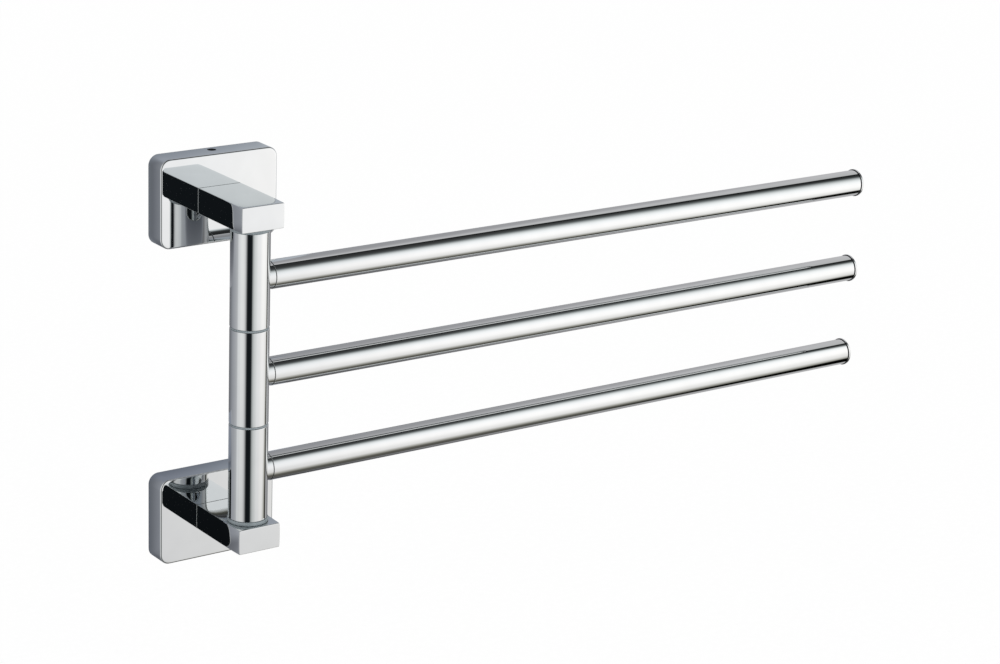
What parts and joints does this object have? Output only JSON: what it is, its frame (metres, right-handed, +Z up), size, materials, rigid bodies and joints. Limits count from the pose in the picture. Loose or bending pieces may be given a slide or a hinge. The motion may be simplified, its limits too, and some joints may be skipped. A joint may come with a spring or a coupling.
{
  "type": "swing arm towel bar",
  "caption": "Wall-mounted towel bar with swing arms: rosettes and posts hold an upright pivot barrel, and each of its stacked knuckles turns with its own round bar.",
  "frame": {"origin": "on the wall plane, midway between the rosettes, which is the middle of the rectangle of wall screw holes", "axes": "+X along the wall towards the bars' free ends at rest, +Y into the wall, +Z up"},
  "size_m": [0.4745, 0.0608, 0.2348],
  "materials": {
    "chrome": "mirror polished chrome plate",
    "cast_zinc": "plain cast zinc",
    "screw_steel": "turned steel",
    "grey_nylon": "smooth grey nylon",
    "white_bush": "plain white acetal"
  },
  "bodies": {
    "root": {"upper_mounting_plate": "cast_zinc", "lower_mounting_plate": "cast_zinc", "upper_rosette": "chrome", "lower_rosette": "chrome", "upper_grub_screw": "screw_steel", "lower_grub_screw": "screw_steel", "upper_post": "chrome", "lower_post": "chrome", "upper_post_screw": "screw_steel", "lower_post_screw": "screw_steel", "pivot_shaft": "screw_steel", "pivot_screw": "screw_steel", "upper_washer": "grey_nylon", "lower_washer": "grey_nylon", "upper_ring": "grey_nylon", "lower_ring": "grey_nylon"},
    "upper_arm": {"upper_knuckle": "chrome", "upper_bushes": "white_bush", "upper_stub": "chrome", "upper_bar": "chrome", "upper_end_cap": "chrome"},
    "middle_arm": {"middle_knuckle": "chrome", "middle_bushes": "white_bush", "middle_stub": "chrome", "middle_bar": "chrome", "middle_end_cap": "chrome"},
    "lower_arm": {"lower_knuckle": "chrome", "lower_bushes": "white_bush", "lower_stub": "chrome", "lower_bar": "chrome", "lower_end_cap": "chrome"}
  },
  "joints": [
    {"name": "upper_swing", "type": "hinge", "parent": "root", "child": "upper_arm", "pos_m": [0, -0.0475, 0.0556], "axis": [0, 0, 1], "range_deg": [-184, 4]},
    {"name": "middle_swing", "type": "hinge", "parent": "root", "child": "middle_arm", "pos_m": [0, -0.0475, 0], "axis": [0, 0, 1], "range_deg": [-184, 4]},
    {"name": "lower_swing", "type": "hinge", "parent": "root", "child": "lower_arm", "pos_m": [0, -0.0475, -0.0556], "axis": [0, 0, 1], "range_deg": [-184, 4]}
  ]
}
